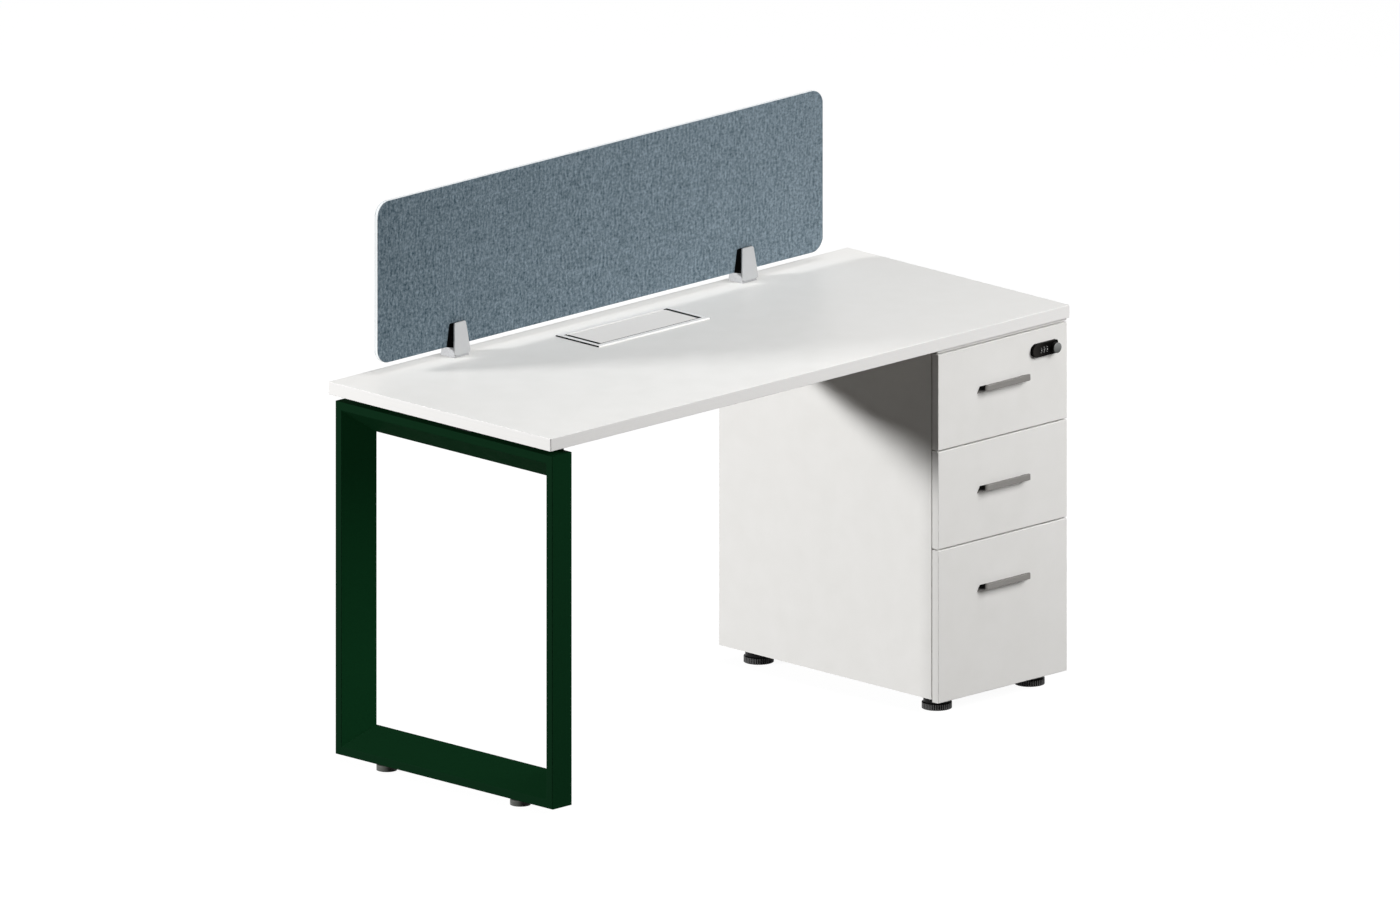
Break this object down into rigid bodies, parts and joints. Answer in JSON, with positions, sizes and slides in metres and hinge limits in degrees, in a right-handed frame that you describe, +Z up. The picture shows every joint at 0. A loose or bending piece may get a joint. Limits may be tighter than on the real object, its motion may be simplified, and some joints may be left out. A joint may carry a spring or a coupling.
{
  "type": "office workstation",
  "caption": "Straight office desk on a loop leg and a lockable drawer pedestal, with a clamped fabric screen and a flush flip-top power box.",
  "frame": {"origin": "on the floor, under the middle of the whole object's box", "axes": "+Z up, +X along the desk from the loop leg to the pedestal, +Y from the drawer fronts to the screen"},
  "size_m": [1.4, 0.6144, 1.0886],
  "materials": {
    "white_laminate": "satin melamine laminate on particle board",
    "green_steel": "fine textured powder coat",
    "black_steel": "black powder coat",
    "zinc_steel": "bright zinc plating",
    "satin_metal": "satin nickel",
    "silver_metal": "silver satin lacquer",
    "black_plastic": "moulded, fine grain",
    "black_gloss": "moulded, semi gloss",
    "dial_plastic": "moulded wheel",
    "knob_metal": "satin grey",
    "white_metal": "white lacquered aluminium",
    "white_plastic": "moulded",
    "screen_board": "pale pressed felt board edge",
    "screen_cloth": "plain woven melange, blue grey"
  },
  "bodies": {
    "workstation": {"desktop_board": "white_laminate", "desktop_edge_band": "white_laminate", "pedestal_left_side": "white_laminate", "pedestal_right_side": "white_laminate", "pedestal_bottom": "white_laminate", "pedestal_top": "white_laminate", "pedestal_back": "white_laminate", "leg_front_post": "green_steel", "leg_back_post": "green_steel", "leg_top_rail": "green_steel", "leg_bottom_rail": "green_steel", "leg_brackets": "black_steel", "support_beam": "black_steel", "leg_foot_inserts": "zinc_steel", "fixing_screws": "zinc_steel", "runner_cabinet_members": "zinc_steel", "pedestal_foot_collars": "black_plastic", "clamp_pads": "black_plastic", "power_tub": "black_plastic", "power_bezel": "white_metal", "power_sockets": "white_plastic", "screen_core": "screen_board", "screen_fabric": "screen_cloth", "clamp_bodies": "silver_metal", "clamp_covers": "silver_metal"},
    "upper_drawer": {"upper_drawer_front": "white_laminate", "upper_drawer_sides": "white_laminate", "upper_drawer_back": "white_laminate", "upper_drawer_bottom": "white_laminate", "upper_handle": "satin_metal", "upper_runner_inner": "zinc_steel", "lock_body": "black_gloss"},
    "upper_runner": {"upper_runner_middle": "zinc_steel"},
    "middle_drawer": {"middle_drawer_front": "white_laminate", "middle_drawer_sides": "white_laminate", "middle_drawer_back": "white_laminate", "middle_drawer_bottom": "white_laminate", "middle_handle": "satin_metal", "middle_runner_inner": "zinc_steel"},
    "middle_runner": {"middle_runner_middle": "zinc_steel"},
    "lower_drawer": {"lower_drawer_front": "white_laminate", "lower_drawer_sides": "white_laminate", "lower_drawer_back": "white_laminate", "lower_drawer_bottom": "white_laminate", "lower_handle": "satin_metal", "lower_runner_inner": "zinc_steel"},
    "lower_runner": {"lower_runner_middle": "zinc_steel"},
    "lock_turn": {"lock_knob": "knob_metal", "lock_cam": "zinc_steel"},
    "lock_dial_1_wheel": {"lock_dial_1": "dial_plastic"},
    "lock_dial_2_wheel": {"lock_dial_2": "dial_plastic"},
    "lock_dial_3_wheel": {"lock_dial_3": "dial_plastic"},
    "power_lid_flap": {"power_lid": "white_metal"},
    "leg_front_foot_pad": {"leg_front_foot": "black_plastic"},
    "leg_back_foot_pad": {"leg_back_foot": "black_plastic"},
    "pedestal_front_left_foot_pad": {"pedestal_front_left_foot": "black_plastic"},
    "pedestal_front_right_foot_pad": {"pedestal_front_right_foot": "black_plastic"},
    "pedestal_back_left_foot_pad": {"pedestal_back_left_foot": "black_plastic"},
    "pedestal_back_right_foot_pad": {"pedestal_back_right_foot": "black_plastic"}
  },
  "joints": [
    {"name": "upper_drawer_slide", "type": "slide", "parent": "workstation", "child": "upper_drawer", "axis": [0, -1, 0], "range_m": [0, 0.4]},
    {"name": "upper_runner_slide", "type": "slide", "parent": "workstation", "child": "upper_runner", "axis": [0, -1, 0], "range_m": [0, 0.2]},
    {"name": "middle_drawer_slide", "type": "slide", "parent": "workstation", "child": "middle_drawer", "axis": [0, -1, 0], "range_m": [0, 0.4]},
    {"name": "middle_runner_slide", "type": "slide", "parent": "workstation", "child": "middle_runner", "axis": [0, -1, 0], "range_m": [0, 0.2]},
    {"name": "lower_drawer_slide", "type": "slide", "parent": "workstation", "child": "lower_drawer", "axis": [0, -1, 0], "range_m": [0, 0.4]},
    {"name": "lower_runner_slide", "type": "slide", "parent": "workstation", "child": "lower_runner", "axis": [0, -1, 0], "range_m": [0, 0.2]},
    {"name": "lock_knob_turn", "type": "hinge", "parent": "upper_drawer", "child": "lock_turn", "pos_m": [0.655, -0.29625, 0.676], "axis": [0, 1, 0], "range_deg": [0, 90]},
    {"name": "lock_dial_1_turn", "type": "hinge", "parent": "upper_drawer", "child": "lock_dial_1_wheel", "pos_m": [0.6344, -0.28875, 0.676], "axis": [1, 0, 0], "continuous": true},
    {"name": "lock_dial_2_turn", "type": "hinge", "parent": "upper_drawer", "child": "lock_dial_2_wheel", "pos_m": [0.6267, -0.28875, 0.676], "axis": [1, 0, 0], "continuous": true},
    {"name": "lock_dial_3_turn", "type": "hinge", "parent": "upper_drawer", "child": "lock_dial_3_wheel", "pos_m": [0.619, -0.28875, 0.676], "axis": [1, 0, 0], "continuous": true},
    {"name": "power_lid_hinge", "type": "hinge", "parent": "workstation", "child": "power_lid_flap", "pos_m": [-0.0075, 0.22015, 0.7483], "axis": [-1, 0, 0], "range_deg": [0, 100]},
    {"name": "leg_front_foot_turn", "type": "hinge", "parent": "workstation", "child": "leg_front_foot_pad", "pos_m": [-0.6615, -0.17275, 0], "axis": [0, 0, 1], "continuous": true},
    {"name": "leg_back_foot_turn", "type": "hinge", "parent": "workstation", "child": "leg_back_foot_pad", "pos_m": [-0.6615, 0.18725, 0], "axis": [0, 0, 1], "continuous": true},
    {"name": "pedestal_front_left_foot_turn", "type": "hinge", "parent": "workstation", "child": "pedestal_front_left_foot_pad", "pos_m": [0.4045, -0.22925, 0], "axis": [0, 0, 1], "continuous": true},
    {"name": "pedestal_front_right_foot_turn", "type": "hinge", "parent": "workstation", "child": "pedestal_front_right_foot_pad", "pos_m": [0.6545, -0.22925, 0], "axis": [0, 0, 1], "continuous": true},
    {"name": "pedestal_back_left_foot_turn", "type": "hinge", "parent": "workstation", "child": "pedestal_back_left_foot_pad", "pos_m": [0.4045, 0.25075, 0], "axis": [0, 0, 1], "continuous": true},
    {"name": "pedestal_back_right_foot_turn", "type": "hinge", "parent": "workstation", "child": "pedestal_back_right_foot_pad", "pos_m": [0.6545, 0.25075, 0], "axis": [0, 0, 1], "continuous": true}
  ],
  "couplings": [
    {"joint": "upper_runner_slide", "follows": "upper_drawer_slide", "ratio": 0.5},
    {"joint": "middle_runner_slide", "follows": "middle_drawer_slide", "ratio": 0.5},
    {"joint": "lower_runner_slide", "follows": "lower_drawer_slide", "ratio": 0.5}
  ]
}
